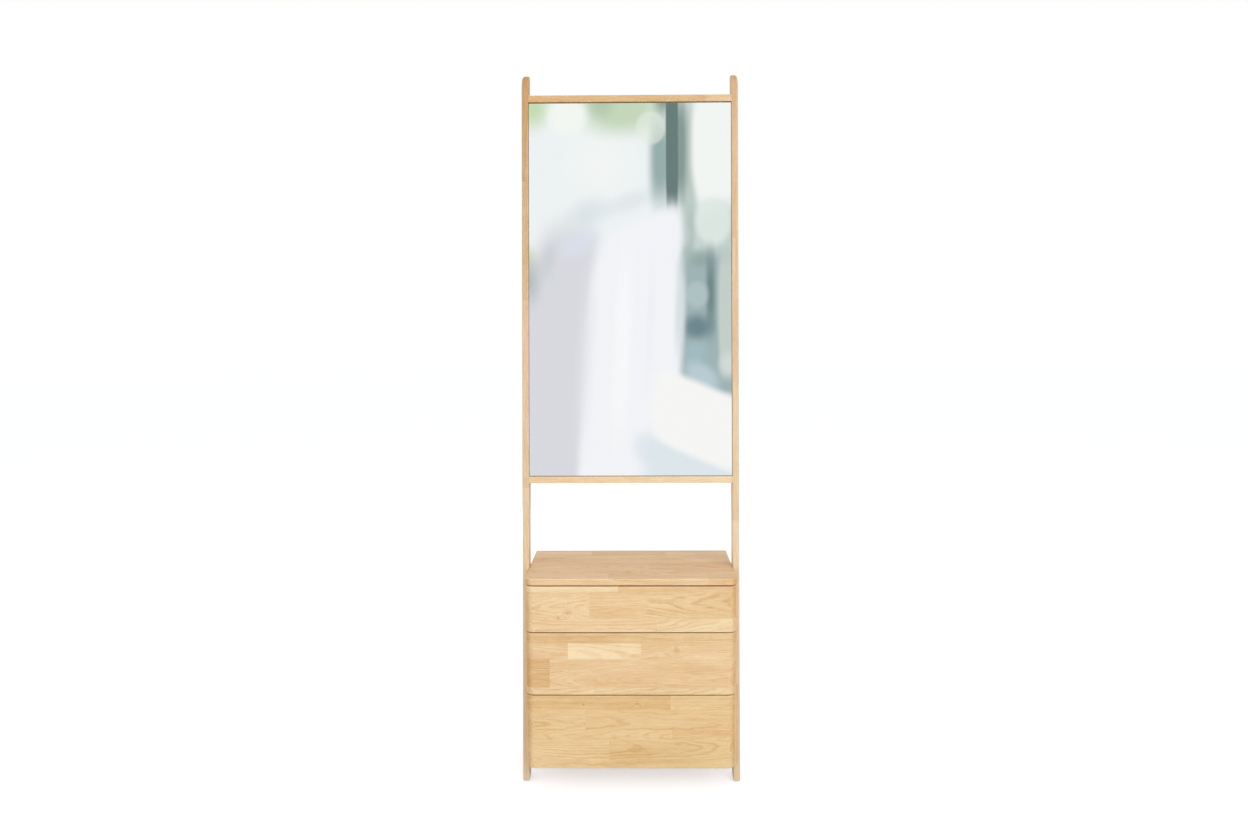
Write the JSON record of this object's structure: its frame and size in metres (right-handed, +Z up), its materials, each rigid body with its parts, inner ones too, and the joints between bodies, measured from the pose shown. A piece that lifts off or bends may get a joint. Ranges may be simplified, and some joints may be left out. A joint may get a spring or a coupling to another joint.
{
  "type": "leaning mirror with drawers",
  "caption": "Tall oak-framed mirror that leans back between two full-height uprights, above an open shelf and a chest of handleless sliding drawers.",
  "frame": {"origin": "on the floor under the middle of the object: halfway across its width and halfway between the closed drawer fronts and the wall plane", "axes": "+Z up, -Y towards the person who uses the mirror, +Y towards the wall that it leans on, +X to the right seen from the front"},
  "size_m": [0.6, 0.306, 1.95],
  "materials": {
    "oak_frame": "oiled, satin",
    "oak_fronts": "oiled, satin",
    "oak_shelf": "oiled, satin",
    "oak_chest": "oiled, satin",
    "mirror": "silvered float glass",
    "hardboard": "bare",
    "birch_ply": "lacquered, satin",
    "beech_dowel": "bare",
    "zinc_steel": "zinc plated",
    "runner_steel": "zinc plated",
    "brass": "plain",
    "rubber": "matt",
    "felt": "felt"
  },
  "bodies": {
    "frame": {"left_upright": "oak_frame", "right_upright": "oak_frame", "top_rail": "oak_frame", "lower_rail": "oak_frame", "side_beads": "oak_frame", "end_beads": "oak_frame", "mirror_glass": "mirror", "mirror_backing": "hardboard", "bead_pins": "zinc_steel", "chest_bolts": "zinc_steel", "back_panel_screws": "zinc_steel", "runner_screws": "zinc_steel", "rail_dowels": "beech_dowel", "chest_dowels": "beech_dowel", "wall_bumpers": "rubber", "foot_pads": "felt", "shelf": "oak_shelf", "chest_left_side": "oak_chest", "chest_right_side": "oak_chest", "chest_bottom": "oak_chest", "left_rear_leg": "oak_chest", "right_rear_leg": "oak_chest", "chest_back": "birch_ply", "threaded_inserts": "brass", "top_left_fixed_runner": "runner_steel", "top_right_fixed_runner": "runner_steel", "middle_left_fixed_runner": "runner_steel", "middle_right_fixed_runner": "runner_steel", "bottom_left_fixed_runner": "runner_steel", "bottom_right_fixed_runner": "runner_steel"},
    "top_drawer": {"top_drawer_front": "oak_fronts", "top_drawer_left_side": "birch_ply", "top_drawer_right_side": "birch_ply", "top_drawer_back": "birch_ply", "top_drawer_bottom": "birch_ply", "top_drawer_screws": "zinc_steel", "top_left_drawer_runner": "runner_steel", "top_right_drawer_runner": "runner_steel"},
    "top_middle_runners": {"top_left_middle_runner": "runner_steel", "top_right_middle_runner": "runner_steel"},
    "middle_drawer": {"middle_drawer_front": "oak_fronts", "middle_drawer_left_side": "birch_ply", "middle_drawer_right_side": "birch_ply", "middle_drawer_back": "birch_ply", "middle_drawer_bottom": "birch_ply", "middle_drawer_screws": "zinc_steel", "middle_left_drawer_runner": "runner_steel", "middle_right_drawer_runner": "runner_steel"},
    "middle_middle_runners": {"middle_left_middle_runner": "runner_steel", "middle_right_middle_runner": "runner_steel"},
    "bottom_drawer": {"bottom_drawer_front": "oak_fronts", "bottom_drawer_left_side": "birch_ply", "bottom_drawer_right_side": "birch_ply", "bottom_drawer_back": "birch_ply", "bottom_drawer_bottom": "birch_ply", "bottom_drawer_screws": "zinc_steel", "bottom_left_drawer_runner": "runner_steel", "bottom_right_drawer_runner": "runner_steel"},
    "bottom_middle_runners": {"bottom_left_middle_runner": "runner_steel", "bottom_right_middle_runner": "runner_steel"}
  },
  "joints": [
    {"name": "top_drawer_slide", "type": "slide", "parent": "frame", "child": "top_drawer", "axis": [0, -1, 0], "range_m": [0, 0.25]},
    {"name": "top_middle_runners_slide", "type": "slide", "parent": "frame", "child": "top_middle_runners", "axis": [0, -1, 0], "range_m": [0, 0.125]},
    {"name": "middle_drawer_slide", "type": "slide", "parent": "frame", "child": "middle_drawer", "axis": [0, -1, 0], "range_m": [0, 0.25]},
    {"name": "middle_middle_runners_slide", "type": "slide", "parent": "frame", "child": "middle_middle_runners", "axis": [0, -1, 0], "range_m": [0, 0.125]},
    {"name": "bottom_drawer_slide", "type": "slide", "parent": "frame", "child": "bottom_drawer", "axis": [0, -1, 0], "range_m": [0, 0.25]},
    {"name": "bottom_middle_runners_slide", "type": "slide", "parent": "frame", "child": "bottom_middle_runners", "axis": [0, -1, 0], "range_m": [0, 0.125]}
  ],
  "couplings": [
    {"joint": "top_middle_runners_slide", "follows": "top_drawer_slide", "ratio": 0.5},
    {"joint": "middle_middle_runners_slide", "follows": "middle_drawer_slide", "ratio": 0.5},
    {"joint": "bottom_middle_runners_slide", "follows": "bottom_drawer_slide", "ratio": 0.5}
  ]
}
